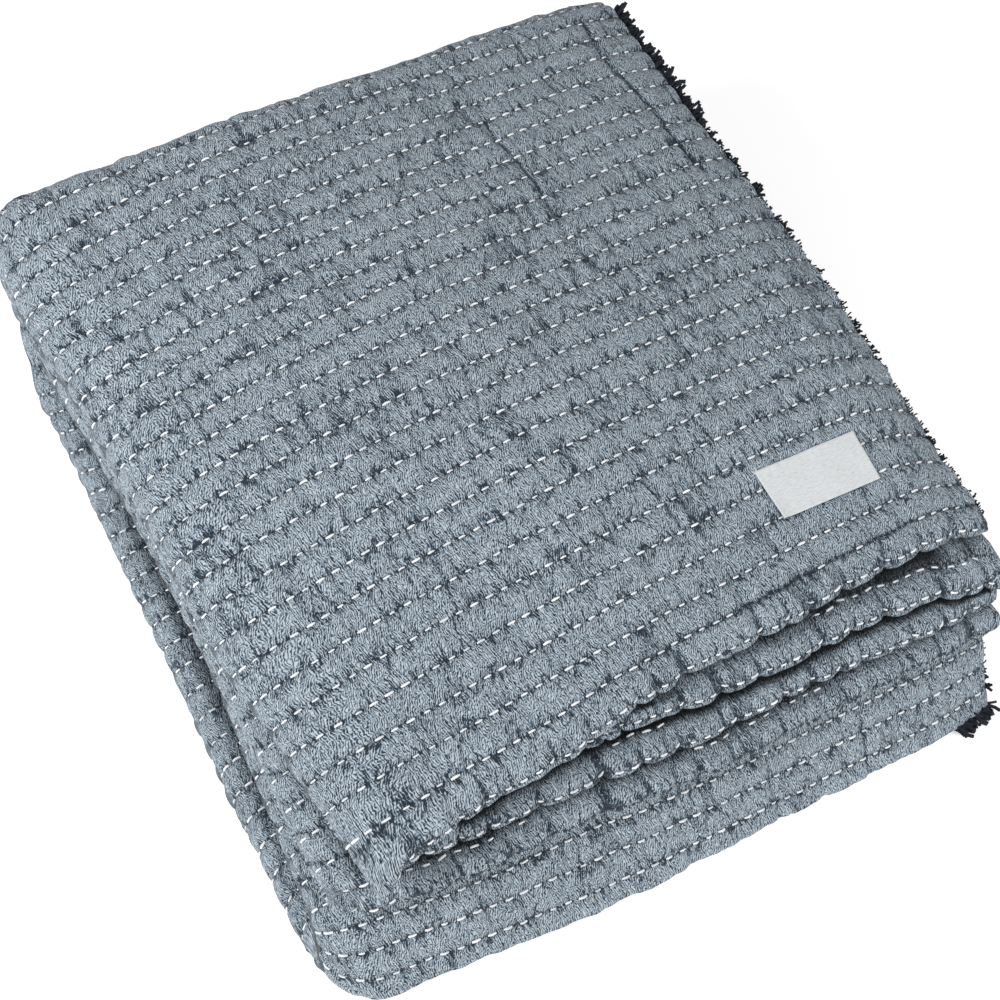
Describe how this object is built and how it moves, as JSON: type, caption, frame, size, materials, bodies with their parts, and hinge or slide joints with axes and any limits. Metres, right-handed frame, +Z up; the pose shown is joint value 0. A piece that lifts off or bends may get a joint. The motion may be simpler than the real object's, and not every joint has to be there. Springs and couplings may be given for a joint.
{
  "type": "quilted bedspread",
  "caption": "Quilted bedspread of crinkled gauze folded to a soft stack, with running-stitch quilting, a short frayed fringe and a blank label.",
  "frame": {"origin": "on the floor, under the middle of the folded stack's bounding box", "axes": "+X along the stitch rows towards the fringed edge, +Y towards the back fold, +Z up"},
  "size_m": [0.513, 0.628, 0.1706],
  "materials": {
    "gauze": "matt blue-grey cotton gauze",
    "navy_thread": "matt dark navy cotton thread",
    "label_tape": "satin off-white woven tape"
  },
  "bodies": {
    "root": {"bedspread_cloth": "gauze", "label": "label_tape", "fringe_top": "navy_thread", "fringe_upper": "navy_thread", "fringe_lower": "navy_thread", "fringe_bottom": "navy_thread"}
  },
  "joints": []
}
